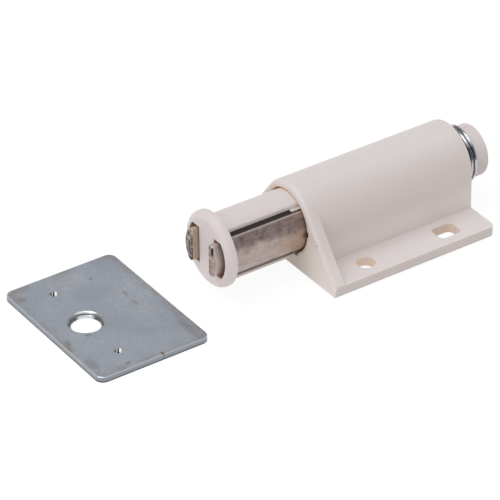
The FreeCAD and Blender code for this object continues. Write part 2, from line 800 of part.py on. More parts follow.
def make_strike_plate():
    """Steel plate for the door: rounded corners, countersunk hole near one side, two punched dimples."""
    body = new_body("strike_plate")
    outline = plan(body, "PlateSketch")
    left = "0 - strike_offset - strike_width / 2"
    right = "strike_width / 2 - strike_offset"
    low = "0 - strike_centre - strike_length / 2"
    high = "strike_length / 2 - strike_centre"
    rectangle(outline, left, right, low, high)
    solid = pad(body, outline, "Plate", "strike_thickness")
    thick = value("strike_thickness")

    def corner(box):
        return near(box.ZLength, thick) and near(box.XLength, 0) and near(box.YLength, 0)

    solid = dress(body, "Fillet", "PlateCorners", solid, edges_where(solid, corner), "strike_corner")

    def top_edge(box):
        return near(box.ZMin, thick)

    dress(body, "Fillet", "PlateRim", solid, edges_where(solid, top_edge), "strike_edge_round")
    hole = plan(body, "StrikeHoleSketch")
    line = "0 - strike_centre - strike_hole_offset"
    circle(hole, "strike_hole_radius", "0 - strike_offset", line)
    solid = pocket(body, hole, "StrikeHole", "strike_thickness", forward=True)
    radius = value("strike_hole_radius")

    def ring_edge(ring):
        return lambda box: near(box.ZMin, thick) and near(box.XLength, 2 * ring)

    rim = edges_where(solid, ring_edge(radius))
    solid = dress(body, "Chamfer", "StrikeSink", solid, rim, "strike_sink")
    rim = edges_where(solid, ring_edge(radius + value("strike_sink")))
    dress(body, "Fillet", "StrikeSinkRound", solid, rim, "strike_sink_round")
    dimples = plan(body, "DimpleSketch", "strike_thickness")
    for across in ("dimple_spacing / 2 - strike_offset", "0 - dimple_spacing / 2 - strike_offset"):
        circle(dimples, "dimple_radius", across, line)
    solid = pocket(body, dimples, "Dimples", "dimple_depth")
    rim = edges_where(solid, ring_edge(value("dimple_radius")))
    dress(body, "Chamfer", "DimpleSinks", solid, rim, "dimple_sink")
    return body


def check(parts):
    """Stop if any object failed or any sub-part isn't one sound solid."""
    doc.recompute()
    for item in doc.Objects:
        if "Invalid" in item.State or "Error" in item.State:
            raise RuntimeError(f"{item.Name} failed: {item.State}")
    for part in parts:
        if part.Shape.isNull() or not part.Shape.isValid() or len(part.Shape.Solids) != 1:
            raise RuntimeError(f"{part.Label} isn't one sound solid")


def main():
    fill_sheet()
    parts = [
        make_housing(),
        make_carrier(),
        make_sleeve(),
        make_magnet(),
        make_pole_plate("pole_plate_left", -1),
        make_pole_plate("pole_plate_right", 1),
        make_spring(),
        make_follower(),
        make_strike_plate(),
    ]
    check(parts)
    os.makedirs("parts", exist_ok=True)
    for part in parts:
        part.Shape.exportStep(f"parts/{part.Label}.step")
        print(part.Label, round(part.Shape.Volume, 2), part.Shape.BoundBox)


main()
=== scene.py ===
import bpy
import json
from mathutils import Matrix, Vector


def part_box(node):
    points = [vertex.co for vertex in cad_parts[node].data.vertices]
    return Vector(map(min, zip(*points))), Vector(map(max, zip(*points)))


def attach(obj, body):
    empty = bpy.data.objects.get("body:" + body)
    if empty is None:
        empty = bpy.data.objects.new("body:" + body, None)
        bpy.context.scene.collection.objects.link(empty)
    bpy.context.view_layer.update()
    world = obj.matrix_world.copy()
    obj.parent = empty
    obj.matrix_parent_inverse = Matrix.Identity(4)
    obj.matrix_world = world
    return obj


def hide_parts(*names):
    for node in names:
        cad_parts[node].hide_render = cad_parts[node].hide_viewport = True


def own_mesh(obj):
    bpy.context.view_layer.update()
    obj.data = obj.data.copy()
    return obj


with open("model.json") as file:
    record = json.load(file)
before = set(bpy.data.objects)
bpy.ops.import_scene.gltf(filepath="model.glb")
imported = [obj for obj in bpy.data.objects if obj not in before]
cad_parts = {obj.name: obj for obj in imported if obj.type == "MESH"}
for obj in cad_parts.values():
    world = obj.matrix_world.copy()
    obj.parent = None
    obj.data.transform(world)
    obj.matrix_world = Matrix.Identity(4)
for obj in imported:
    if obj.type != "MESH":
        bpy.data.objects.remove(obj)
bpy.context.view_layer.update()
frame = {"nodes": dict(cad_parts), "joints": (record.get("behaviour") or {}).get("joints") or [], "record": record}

import json
from collections import namedtuple
from math import cos, radians, sin

import bmesh
import bpy
from mathutils import Matrix, Vector

scene = bpy.context.scene
nodes = frame["nodes"]
mounts = {mount["name"]: mount for mount in frame["record"]["mounts"]}
slide = next(joint for joint in frame["joints"] if joint["name"] == "plunger_slide")


# Places on the CAD in millimetres, for the marks in the materials

def mount_place(name):
    """Where one of the record's mounts lies."""
    return [1000.0 * value for value in mounts[name]["pos_m"]]


def node_box(name):
    """Lowest and highest corner of a CAD node."""
    return [[1000.0 * value for value in corner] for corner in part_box(name)]


# the bore's mouth is rounded out to BORE_EDGE, and SLOT_REACH is from a slot's middle past its corners
AXIS_Z = mount_place("pole_face_right")[2]
BORE_EDGE = 7.1
FLANGE_TOP = 2.0 * mount_place("screw_holes")[2]
REAR_Y = node_box("housing")[1][1]
SCREW_X = mounts["screw_holes"]["dims"]["spacing_x_mm"] / 2.0
SCREW_Y = mount_place("screw_holes")[1]
SCREW_RADIUS = mounts["screw_holes"]["dims"]["hole_r_mm"]
SLOT_Y = mount_place("adjusting_slots")[1]
SLOT_REACH = 3.1

HEAD_FRONT = node_box("plunger_carrier")[0][1]
HEAD_THICKNESS = 2.1
HEAD_BACK = HEAD_FRONT + HEAD_THICKNESS
HEAD_SLOT_RADIUS = 6.6
RAIL_HALF_WIDTH = 3.4
POLE_FOOT, POLE_TOP = (corner[2] for corner in node_box("pole_plate_right"))
TIP_EDGE = 5.3
TIP_HOLLOW_X = 4.25

PLATE_LOW, PLATE_HIGH = node_box("strike_plate")
PLATE_X, PLATE_Y = ((low + high) / 2.0 for low, high in zip(PLATE_LOW[:2], PLATE_HIGH[:2]))
STRIKE_X, STRIKE_Y = mount_place("strike_hole")[:2]
STRIKE_RADIUS = mounts["strike_hole"]["dims"]["r_mm"]
SINK_WIDTH = 0.95
SINK_RADIUS = STRIKE_RADIUS + SINK_WIDTH
PUNCH_OFFSET = 11.9
PUNCH_RADIUS = 0.85


# Building with nodes

class Graph:
    """Adds nodes to a tree. A number, a colour or a socket goes in, and a socket comes out.
    A colour is linear red, green and blue."""

    def __init__(self, tree):
        self.tree = tree

    def connect(self, item, socket):
        if isinstance(item, bpy.types.NodeSocket):
            self.tree.links.new(item, socket)
        elif socket.type == "RGBA":
            socket.default_value = (*item, 1.0)
        else:
            socket.default_value = item

    def add(self, kind, inputs, **settings):
        """A node of this kind with its settings and inputs."""
        node = self.tree.nodes.new(kind)
        for key, item in settings.items():
            setattr(node, key, item)
        for key, item in inputs.items():
            self.connect(item, node.inputs[key])
        return node

    def math(self, operation, first, second=0.0):
        return self.add("ShaderNodeMath", {0: first, 1: second}, operation=operation).outputs["Value"]

    def product(self, first, *others):
        for item in others:
            first = self.math("MULTIPLY", first, item)
        return first

    def length(self, first, second):
        """Length of the line that goes this far along two axes."""
        return self.math("SQRT", self.math("ADD", self.product(first, first), self.product(second, second)))

    def towards(self, direction, first, second):
        """How far the point at first, second lies in this direction of their plane."""
        return self.math("ADD", self.product(first, direction[0]), self.product(second, direction[1]))

    def spread(self, source, low, high, start=0.0, end=1.0, kind="LINEAR"):
        """The source's range from low to high, turned into start to end and held there."""
        limits = {"Value": source, "From Min": low, "From Max": high, "To Min": start, "To Max": end}
        node = self.add("ShaderNodeMapRange", limits, interpolation_type=kind, clamp=True)
        return node.outputs["Result"]

    def rise(self, source, low, high, most=1.0):
        """0 below low and most above high."""
        return self.spread(source, low, high, 0.0, most)

    def fall(self, source, low, high, most=1.0):
        """Most below low and 0 above high."""
        return self.spread(source, low, high, most, 0.0)

    def mix(self, share, first, second):
        """First colour where share is 0, second where it is 1."""
        return self.add("ShaderNodeMix", {0: share, 6: first, 7: second}, data_type="RGBA").outputs[2]

    def paint(self, colour, tint, *masks):
        """The colour with the tint over it, as strong as the masks multiplied."""
        return self.mix(self.product(*masks), colour, tint)

    def bands(self, colour, source, steps):
        """The colour, then each step's tint from where the source rises from its low to its high."""
        for low, high, tint in steps:
            colour = self.paint(colour, tint, self.rise(source, low, high))
        return colour

    def oval(self, first, second, centre, size):
        """0 at the centre of an oval in the plane of first and second, and 1 on its outline."""
        aside = self.math("DIVIDE", self.math("SUBTRACT", first, centre[0]), size[0])
        above = self.math("DIVIDE", self.math("SUBTRACT", second, centre[1]), size[1])
        return self.length(aside, above)

    def blot(self, colour, tint, share, first, second, centre, size):
        """The colour with a soft oval mark, as strong as share."""
        return self.paint(colour, tint, self.fall(self.oval(first, second, centre, size), 0.5, 1.1, share))


class Surface(Graph):
    """A new material whose look depends on the place and the direction of the surface."""

    def __init__(self, name):
        self.material = bpy.data.materials.new(name)
        self.material.use_nodes = True
        super().__init__(self.material.node_tree)
        self.shader = self.tree.nodes["Principled BSDF"]

    def axes(self, vector):
        node = self.add("ShaderNodeSeparateXYZ", {"Vector": vector})
        return node.outputs["X"], node.outputs["Y"], node.outputs["Z"]

    def millimetres(self, stretch=(1.0, 1.0, 1.0)):
        """The place in millimetres, squeezed along each axis by stretch."""
        place = self.add("ShaderNodeTexCoord", {}).outputs["Object"]
        scale = tuple(1000.0 * share for share in stretch)
        return self.add("ShaderNodeMapping", {"Vector": place, "Scale": scale}).outputs["Vector"]

    def place(self):
        """The place in millimetres as three numbers."""
        return self.axes(self.millimetres())

    def direction(self):
        """The way the surface faces as three numbers."""
        return self.axes(self.add("ShaderNodeTexCoord", {}).outputs["Normal"])

    def from_axis(self, x, z):
        """Distance from the axis of bore and plunger in millimetres."""
        return self.length(x, self.math("SUBTRACT", z, AXIS_Z))

    def noise(self, size, shift, detail, rough, stretch=(1.0, 1.0, 1.0)):
        """Noise whose patches are about this size in millimetres. Each shift gives another pattern."""
        inputs = {"Vector": self.millimetres(stretch), "Scale": 1.0 / size, "Detail": detail,
                  "Roughness": rough, "W": shift}
        return self.add("ShaderNodeTexNoise", inputs, noise_dimensions="4D").outputs["Fac"]

    def two_tone(self, noise, dark, pale):
        return self.mix(self.rise(noise, 0.35, 0.65), dark, pale)

    def vary(self, noise, low, high):
        """A number from low to high that follows the noise."""
        return self.spread(noise, 0.3, 0.7, low, high)

    def bump(self, height, strength, depth, below=None):
        """A bump of this height map; depth in metres."""
        inputs = {"Height": height, "Strength": strength, "Distance": depth}
        if below is not None:
            inputs["Normal"] = below
        return self.add("ShaderNodeBump", inputs).outputs["Normal"]

    def shade(self, inputs):
        """Gives the shader these inputs and returns the material."""
        for key, item in inputs.items():
            self.connect(item, self.shader.inputs[key])
        return self.material


# Moulded plastic of housing and plunger: each pattern has its size in millimetres and its shift

Plastic = namedtuple("Plastic", [
    "shade", "pale", "dust", "cloud", "speck", "gloss", "rough", "grain", "wave", "wave_depth",
    "scatter", "scatter_reach"])

HOUSING_PLASTIC = Plastic(
    shade=(0.735, 0.675, 0.660), pale=(0.755, 0.705, 0.698), dust=(0.715, 0.645, 0.625),
    cloud=(9.0, 0.0), speck=(0.9, 3.0), gloss=(5.0, 7.0), rough=(0.36, 0.50),
    grain=(0.22, 1.0), wave=(3.5, 5.0), wave_depth=0.00015, scatter=0.12, scatter_reach=(1.0, 0.55, 0.35))
PLUNGER_PLASTIC = Plastic(
    shade=(0.725, 0.655, 0.645), pale=(0.750, 0.695, 0.690), dust=(0.690, 0.610, 0.590),
    cloud=(6.0, 2.0), speck=(0.7, 4.0), gloss=(4.0, 8.0), rough=(0.32, 0.46),
    grain=(0.20, 6.0), wave=(2.6, 9.0), wave_depth=0.00012, scatter=0.15, scatter_reach=(1.0, 0.60, 0.45))


def plastic_colour(look, plastic):
    """Clouded and faintly specked, before any marks."""
    cloud = look.noise(*plastic.cloud, 3.0, 0.5)
    speck = look.noise(*plastic.speck, 4.0, 0.6)
    colour = look.two_tone(cloud, plastic.shade, plastic.pale)
    return look.paint(colour, plastic.dust, look.vary(speck, 0.0, 0.35))


def plastic_material(look, plastic, colour):
    """Satin, a little translucent, with a fine grain on shallow waves."""
    gloss = look.noise(*plastic.gloss, 4.0, 0.6)
    grain = look.noise(*plastic.grain, 3.0, 0.6)
    wave = look.noise(*plastic.wave, 2.0, 0.4)
    fine = look.bump(grain, 0.12, 0.00004)
    return look.shade({
        "Base Color": colour, "Roughness": look.vary(gloss, *plastic.rough), "IOR": 1.46,
        "Subsurface Weight": plastic.scatter, "Subsurface Radius": plastic.scatter_reach,
        "Subsurface Scale": 0.0008, "Normal": look.bump(wave, 0.12, plastic.wave_depth, fine)})


# Housing

# the flange's top tint is painted light and its edge tint is painted shade
FLANGE_TOP_LIGHT = (0.790, 0.735, 0.725)
FLANGE_EDGE_SHADE = (0.650, 0.570, 0.545)
# the side's tint is painted shade, and the foot's tint is painted light bounced from the flange
SIDE_WARM_SHADE = (0.690, 0.615, 0.595)
FOOT_BOUNCED_LIGHT = (0.790, 0.720, 0.690)
SLOT_WALL = (0.840, 0.690, 0.590)
HOLE_WALL = (0.980, 0.810, 0.690)
# the bore's tan is painted light that comes through the plastic
BORE_LIGHT_TAN = (0.700, 0.440, 0.270)
REAR_TAN = (0.800, 0.690, 0.550)
# the front's warm and pale tints are painted light
FRONT_WARM_LIGHT = (0.800, 0.650, 0.540)
FRONT_LOW_LIGHT = (0.850, 0.760, 0.700)
FRONT_MARK = (0.380, 0.280, 0.250)
# the rim's glow colour is painted light, given off as a weak emission
RIM_LIGHT = (0.850, 0.600, 0.390)

# Where its marks come and go, in millimetres
SIDE_HEIGHT = (3.0, 7.0)
FOOT_HEIGHT = (4.0, 9.0)
MOUTH_DEPTH = (3.0, 8.0)
FRONT_DEPTH = (0.05, 0.3)
WARM_REACH = 11.0
WARM_HEIGHT = (10.0, 12.0)
PALE_HEIGHT = (6.0, 10.0)
FRONT_MARK_AT, FRONT_MARK_SIZE = (10.3, 9.0), (0.30, 0.34)
RIM_DEPTH = (0.5, 1.2)
RIM_HEIGHT = (12.0, 14.0)


def housing_plastic():
    look = Surface("housing_plastic")
    x, y, z = look.place()
    facing_x, facing_y, facing_z = look.direction()
    colour = plastic_colour(look, HOUSING_PLASTIC)

    # painted light and shade: the flange is paler on top and darker at its edge, but not at the front
    flange = look.fall(z, FLANGE_TOP + 0.2, FLANGE_TOP + 0.4)
    above_flange = look.rise(z, FLANGE_TOP + 0.2, FLANGE_TOP + 0.4)
    colour = look.paint(colour, FLANGE_TOP_LIGHT, flange, look.rise(facing_z, 0.7, 0.95))
    edge = look.product(flange, look.fall(facing_z, 0.2, 0.5, 0.7), look.rise(facing_y, -0.9, -0.6))
    colour = look.paint(colour, FLANGE_EDGE_SHADE, edge)

    # painted shade makes the barrel's right side darker and warmer, and painted light bounced from the flange
    # makes it paler again at its foot
    side = look.rise(facing_x, 0.4, 0.9)
    colour = look.paint(colour, SIDE_WARM_SHADE, side, look.rise(z, *SIDE_HEIGHT))
    colour = look.paint(colour, FOOT_BOUNCED_LIGHT, side, look.fall(z, *FOOT_HEIGHT), above_flange)

    # the walls of holes and slots look warmer, as light comes through the plastic there
    upright = look.fall(look.math("ABSOLUTE", facing_z), 0.3, 0.6)
    aside = look.math("SUBTRACT", look.math("ABSOLUTE", x), SCREW_X)
    from_hole = look.length(aside, look.math("SUBTRACT", y, SCREW_Y))
    from_slot = look.length(aside, look.math("SUBTRACT", y, SLOT_Y))
    hole = look.fall(from_hole, SCREW_RADIUS + 0.05, SCREW_RADIUS + 0.10)
    slot = look.fall(from_slot, SLOT_REACH, SLOT_REACH + 0.1)
    colour = look.paint(colour, SLOT_WALL, look.math("MAXIMUM", hole, slot), upright, 0.85)
    colour = look.paint(colour, HOLE_WALL, hole, upright, 0.85)

    # the bore's mouth is painted tan, as light that comes through the plastic there, and the rim at the rear is
    # tan
    from_axis = look.from_axis(x, z)
    inside = look.fall(from_axis, BORE_EDGE + 0.02, BORE_EDGE + 0.12)
    mouth = look.product(inside, look.fall(y, *MOUTH_DEPTH))
    colour = look.paint(colour, BORE_LIGHT_TAN, mouth, 0.85)
    rear = look.product(look.rise(y, REAR_Y - 0.2, REAR_Y - 0.1, 0.8), above_flange)
    colour = look.paint(colour, REAR_TAN, rear, look.fall(facing_y, 0.3, 0.6))

    # painted light that comes through the thin wall warms the front below the bore, and painted light makes the
    # front paler low down beside the bore
    front = look.fall(y, *FRONT_DEPTH)
    near_bore = look.spread(from_axis, BORE_EDGE + 0.1, WARM_REACH, 0.4, 0.0, "SMOOTHSTEP")
    colour = look.paint(colour, FRONT_WARM_LIGHT, front, near_bore, look.fall(z, *WARM_HEIGHT))
    beside_bore = look.rise(from_axis, BORE_EDGE + 0.2, BORE_EDGE + 0.5)
    colour = look.paint(colour, FRONT_LOW_LIGHT, front, look.fall(z, *PALE_HEIGHT, 0.7), beside_bore)
    share = look.product(front, 0.6)
    colour = look.blot(colour, FRONT_MARK, share, x, z, FRONT_MARK_AT, FRONT_MARK_SIZE)

    # painted light: a weak emission makes the rim above the plunger glow a little, as light that comes through the
    # plastic
    glow = look.product(mouth, look.fall(y, *RIM_DEPTH, 0.24), look.rise(z, *RIM_HEIGHT))
    look.shade({"Emission Color": RIM_LIGHT, "Emission Strength": glow})
    return plastic_material(look, HOUSING_PLASTIC, colour)


# Plunger

# the head's tint is painted light on its front face
HEAD_FACE_LIGHT = (0.790, 0.715, 0.688)
HEAD_SLOT_BROWN = (0.620, 0.420, 0.270)
# the tail's two dark tints are painted shade, the first also a little grease
COIL_SHADE_AND_GREASE = (0.160, 0.150, 0.150)
TAIL_LOW_SHADE = (0.520, 0.450, 0.440)
TAIL_SCRATCH = (0.450, 0.330, 0.290)
RAIL_TAN = (0.760, 0.620, 0.520)
# the dark rail tint is painted shadow and shade
RAIL_SHADOW = (0.110, 0.066, 0.048)

# Where its marks come and go, in millimetres
COILS_END = (42.4, 43.0)
LOW_SHADE_HEIGHT = (6.5, 13.5)
RAIL_HEIGHT = (4.5, 5.0)
RAIL_END = (0.5, 1.0)
TAN_FULL_Y = -2.0
LINE_FOOT, LINE_TOP = (3.75, 3.92), (5.2, 5.3)
DARK_END_AT, DARK_END_SIZE = (-0.25, 3.6), (0.45, 0.45)
TAIL_TOP, TAIL_RIGHT = (12.0, 14.0), (4.0, 5.0)
TOP_SCRATCH_AT, TOP_SCRATCH_SIZE = (-0.4, 44.7), (0.3, 1.1)
RIGHT_SCRATCH_AT, RIGHT_SCRATCH_SIZE = (44.4, 9.7), (1.3, 0.3)


def plunger_plastic():
    look = Surface("plunger_plastic")
    x, y, z = look.place()
    colour = plastic_colour(look, PLUNGER_PLASTIC)

    # painted light makes the front of the head a little paler and warmer
    colour = look.paint(colour, HEAD_FACE_LIGHT, look.fall(y, HEAD_FRONT + 0.1, HEAD_FRONT + 0.2), 0.8)

    # the walls of the slots in the head are painted brown
    inside = look.fall(look.from_axis(x, z), HEAD_SLOT_RADIUS - 0.05, HEAD_SLOT_RADIUS + 0.05)
    behind_front = look.rise(y, HEAD_FRONT + 0.08, HEAD_FRONT + 0.2)
    before_back = look.fall(y, HEAD_BACK - 0.2, HEAD_BACK)
    colour = look.paint(colour, HEAD_SLOT_BROWN, inside, behind_front, before_back, 0.95)

    # the tail is darkened under the coils, painted shade between them that also stands for a little grease, and
    # painted shade makes it darker below
    tail = look.rise(y, REAR_Y - 0.5, REAR_Y + 0.2)
    colour = look.paint(colour, COIL_SHADE_AND_GREASE, tail, look.fall(y, *COILS_END), 0.4)
    colour = look.paint(colour, TAIL_LOW_SHADE, tail, look.fall(z, *LOW_SHADE_HEIGHT, 0.8))

    # the lower rail is tan, with a painted shadow line under the steel and painted shade at its end by the bore
    rail = look.fall(look.math("ABSOLUTE", x), RAIL_HALF_WIDTH + 0.10, RAIL_HALF_WIDTH + 0.15)
    rail = look.product(rail, look.rise(y, HEAD_BACK + 0.05, HEAD_BACK + 0.15))
    lower = look.product(look.fall(z, *RAIL_HEIGHT), look.fall(y, *RAIL_END))
    growing = look.spread(y, HEAD_BACK + 0.05, TAN_FULL_Y, 0.25, 0.75)
    colour = look.paint(colour, RAIL_TAN, rail, lower, growing)
    colour = look.paint(colour, RAIL_SHADOW, rail, look.rise(z, *LINE_FOOT), look.fall(z, *LINE_TOP), 0.9)
    colour = look.blot(colour, RAIL_SHADOW, 0.85, y, z, DARK_END_AT, DARK_END_SIZE)

    # the tail has a faint scratch on top and one at its right
    on_top = look.rise(z, *TAIL_TOP, 0.35)
    at_right = look.rise(x, *TAIL_RIGHT, 0.30)
    colour = look.blot(colour, TAIL_SCRATCH, on_top, x, y, TOP_SCRATCH_AT, TOP_SCRATCH_SIZE)
    colour = look.blot(colour, TAIL_SCRATCH, at_right, y, z, RIGHT_SCRATCH_AT, RIGHT_SCRATCH_SIZE)
    return plastic_material(look, PLUNGER_PLASTIC, colour)


# Steel pole plates

BRIGHT_STEEL = ((0.430, 0.345, 0.315), (0.530, 0.450, 0.420))
DULL_STEEL = ((0.225, 0.170, 0.158), (0.330, 0.262, 0.250))
LOW_STEEL = (0.250, 0.190, 0.175)
BLOTCH = (0.120, 0.095, 0.090)
RUST = (0.520, 0.320, 0.190)
RUST_SMEAR = (0.190, 0.100, 0.048)
# the next two tints are painted shade and a painted highlight
STEEL_SHADE = (0.050, 0.036, 0.030)
TOP_EDGE_HIGHLIGHT = (0.700, 0.620, 0.580)
TIP_FLAT = (0.560, 0.435, 0.350)
TIP_RIM = (0.560, 0.480, 0.460)
PIT_DARK = (0.050, 0.042, 0.042)
# the bright step is a painted highlight
PIT_AND_GLINT_STEPS = ((0.42, 0.50, (0.380, 0.300, 0.275)), (0.56, 0.64, (0.800, 0.730, 0.710)))
RIGHT_FACE = (0.740, 0.560, 0.490)
# the hollow's tints are a painted highlight and painted shade
HOLLOW_EDGE_HIGHLIGHT = (0.850, 0.790, 0.770)
HOLLOW_SHADE = (0.010, 0.009, 0.010)

# Where its marks come and go, in millimetres
DULL_HEIGHT = (10.6, 12.1)
LOW_HEIGHT = (5.4, 6.6)
RUST_REACH = (-8.0, -1.0)
TOP_HALF_WIDTH = (4.5, 4.6)
FOOT_SHADE_END = (-2.5, -1.5)
SMEAR_AT, SMEAR_SIZE = (0.2, 9.7), (1.3, 0.95)
RIGHT_TIP = (3.0, 4.0)

# The painted hollow and its edge, dark with painted shade and bright with a painted highlight: tint, height of the
# middle and half height
HOLLOWS = ((HOLLOW_EDGE_HIGHLIGHT, 12.5, 1.2), (HOLLOW_SHADE, 12.2, 1.1))
HOLLOW_HALF_WIDTH = 0.45


def pole_steel():
    look = Surface("pole_steel")
    x, y, z = look.place()
    facing_y = look.direction()[1]
    blotch = look.noise(1.6, 0.0, 5.0, 0.65)
    wave = look.noise(4.0, 9.0, 3.0, 0.6)
    fleck = look.noise(0.8, 2.0, 4.0, 0.65)
    streak = look.noise(0.5, 5.0, 4.0, 0.6, stretch=(1.0, 0.18, 1.0))

    # the upper part is dull and dark with a wavy edge, the lower part brighter and warmer
    wavy = look.math("ADD", z, look.vary(wave, -1.0, 1.0))
    upper = look.spread(wavy, *DULL_HEIGHT, kind="SMOOTHSTEP")
    colour = look.mix(upper, look.two_tone(streak, *BRIGHT_STEEL), look.two_tone(streak, *DULL_STEEL))
    dark = look.product(look.rise(blotch, 0.50, 0.68, 0.7), look.spread(upper, 0.0, 1.0, 0.3, 1.0))
    colour = look.paint(colour, BLOTCH, dark)
    colour = look.paint(colour, RUST, look.rise(y, *RUST_REACH), look.spread(upper, 0.0, 1.0, 0.50, 0.12))
    colour = look.paint(colour, LOW_STEEL, look.spread(wavy, *LOW_HEIGHT, 0.35, 0.0, "SMOOTHSTEP"))

    # painted shade lies on the top, inside the edge's painted highlight, and along the foot
    inner = look.fall(look.math("ABSOLUTE", x), *TOP_HALF_WIDTH)
    on_top = look.product(look.rise(z, POLE_TOP - 0.10, POLE_TOP - 0.02), inner)
    low = look.fall(z, POLE_FOOT + 0.65, POLE_FOOT + 1.05, 0.92)
    along_foot = look.product(low, look.spread(y, *FOOT_SHADE_END, 1.0, 0.3))
    colour = look.paint(colour, STEEL_SHADE, look.math("MAXIMUM", on_top, along_foot))
    above_side = look.rise(z, POLE_TOP - 0.30, POLE_TOP - 0.20)
    below_top = look.fall(z, POLE_TOP - 0.06, POLE_TOP - 0.02)
    colour = look.paint(colour, TOP_EDGE_HIGHLIGHT, above_side, below_top, 0.55)

    # rust is smeared beside the bore's notch
    colour = look.blot(colour, RUST_SMEAR, 0.80, y, z, SMEAR_AT, SMEAR_SIZE)

    # the tips are tan on their flats, and their worn faces are pitted, with painted highlights as bright spots
    tip = look.fall(y, HEAD_FRONT + 0.3, HEAD_FRONT + 0.5)
    colour = look.paint(colour, TIP_FLAT, tip)
    outer = look.rise(look.from_axis(x, z), TIP_EDGE - 0.10, TIP_EDGE + 0.15)
    colour = look.paint(colour, TIP_RIM, tip, outer)
    face = look.product(look.fall(facing_y, -0.75, -0.45), tip)
    worn = look.bands(PIT_DARK, fleck, PIT_AND_GLINT_STEPS)

    # the right face is paler than the left and has a hollow near its top, painted dark with shade and with a
    # painted highlight on its edge
    worn = look.paint(worn, RIGHT_FACE, look.rise(x, *RIGHT_TIP, 0.52))
    for tint, height, half_height in HOLLOWS:
        hollow = look.oval(x, z, (TIP_HOLLOW_X, height), (HOLLOW_HALF_WIDTH, half_height))
        worn = look.paint(worn, tint, look.fall(hollow, 0.87, 1.0))
    colour = look.mix(face, colour, worn)

    fine = look.bump(streak, 0.35, 0.00006)
    pits = look.bump(fleck, look.product(face, 0.8), 0.00022, fine)
    return look.shade({"Base Color": colour, "Metallic": 0.75, "Roughness": look.vary(blotch, 0.38, 0.62),
                       "Normal": pits})


# Magnet

FERRITE = ((0.012, 0.009, 0.008), (0.030, 0.024, 0.021))


def ferrite():
    look = Surface("ferrite")
    grain = look.noise(0.3, 0.0, 5.0, 0.7)
    return look.shade({"Base Color": look.two_tone(grain, *FERRITE),
                       "Roughness": look.vary(grain, 0.55, 0.75), "Normal": look.bump(grain, 0.4, 0.00005)})


# Spring and follower wire

DRAWN_WIRE = ((0.480, 0.490, 0.520), (0.680, 0.690, 0.720))
WIRE_PATCH = (0.200, 0.205, 0.225)
# the next three tints are a painted dark reflection, a painted highlight and a painted dull reflection
COIL_DARK_REFLECTION = (0.070, 0.080, 0.110)
COIL_HIGHLIGHT = (0.900, 0.910, 0.940)
COIL_TOP_DARK_REFLECTION = (0.220, 0.225, 0.260)
DARK_REFLECTION_HEIGHT, HIGHLIGHT_HEIGHT, TOP_HEIGHT = (11.2, 12.0), (13.9, 14.9), (15.6, 15.9)


def spring_steel():
    look = Surface("spring_steel")
    z = look.place()[2]
    drawn = look.noise(0.35, 0.0, 4.0, 0.6)
    patch = look.noise(2.2, 3.0, 3.0, 0.5)
    colour = look.two_tone(drawn, *DRAWN_WIRE)
    colour = look.paint(colour, WIRE_PATCH, look.rise(patch, 0.50, 0.70, 0.5))

    # the coils are painted with a dark reflection at the side, a highlight above that and a dull dark reflection
    # along their top
    colour = look.paint(colour, COIL_DARK_REFLECTION, look.rise(z, *DARK_REFLECTION_HEIGHT, 0.9))
    colour = look.paint(colour, COIL_HIGHLIGHT, look.rise(z, *HIGHLIGHT_HEIGHT))
    colour = look.paint(colour, COIL_TOP_DARK_REFLECTION, look.rise(z, *TOP_HEIGHT, 0.9))
    return look.shade({"Base Color": colour, "Metallic": 1.0, "Roughness": look.vary(patch, 0.14, 0.24),
                       "Normal": look.bump(drawn, 0.15, 0.00003)})


# Strike plate

ZINC = ((0.400, 0.445, 0.510), (0.520, 0.545, 0.592))
ZINC_CRYSTAL = (0.355, 0.390, 0.450)
ZINC_STAIN = (0.420, 0.385, 0.375)
ZINC_SPECK = (0.240, 0.225, 0.225)
ZINC_SCRATCH = (0.620, 0.640, 0.670)
# the foot's tint is a painted shadow and the rim's tint is a painted highlight
EDGE_FOOT_SHADOW, EDGE_FACE = (0.090, 0.090, 0.100), (0.270, 0.300, 0.335)
EDGE_RIM_HIGHLIGHT = (0.700, 0.720, 0.750)
BORDER_BROWN = (0.300, 0.255, 0.235)
REAR_LINE = (0.120, 0.085, 0.070)
MARK_BROWN = (0.200, 0.155, 0.140)

# Where its marks come and go, in millimetres; the border is measured from the plate's middle
EDGE_FOOT_HEIGHT = (0.15, 0.45)
BORDER_ASIDE, BORDER_ALONG = (15.5, 17.6), (10.4, 12.4)
REAR_LINE_ASIDE = (3.0, 10.0)

# Marks on the plate: place from its middle, half size and share
PLATE_MARKS = (
    ((17.5, 1.85), (0.6, 0.4), 0.90), ((16.4, -5.35), (0.4, 0.8), 0.60),
    ((-12.2, 4.15), (0.6, 0.4), 0.50), ((-4.1, 7.05), (1.4, 0.4), 0.35),
    ((-0.3, 6.95), (1.1, 0.5), 0.30), ((4.0, -6.65), (0.8, 0.7), 0.40),
    ((4.3, -11.45), (1.0, 0.5), 0.45), ((12.7, -11.25), (2.6, 1.4), 0.30),
    ((-13.8, -10.85), (1.1, 1.0), 0.35), ((13.0, 10.75), (4.5, 1.2), 0.30))

# The sink's far side is a row of painted highlight and shade rings, from the hole outwards, and the rest of it is
# painted dark as shade
SINK_FAR_SIDE = (-0.870, 0.490)
SINK_FAR_ENOUGH = (0.78, 0.93)
SINK_INNER_HIGHLIGHT = (0.700, 0.720, 0.740)
SINK_LIGHT_AND_SHADE_RINGS = (
    (STRIKE_RADIUS + 0.17, STRIKE_RADIUS + 0.23, (0.110, 0.105, 0.105)),
    (STRIKE_RADIUS + 0.35, STRIKE_RADIUS + 0.47, (0.880, 0.900, 0.920)),
    (STRIKE_RADIUS + 0.75, STRIKE_RADIUS + 0.90, (0.440, 0.480, 0.540)))
SINK_SHADE = (0.085, 0.090, 0.090)

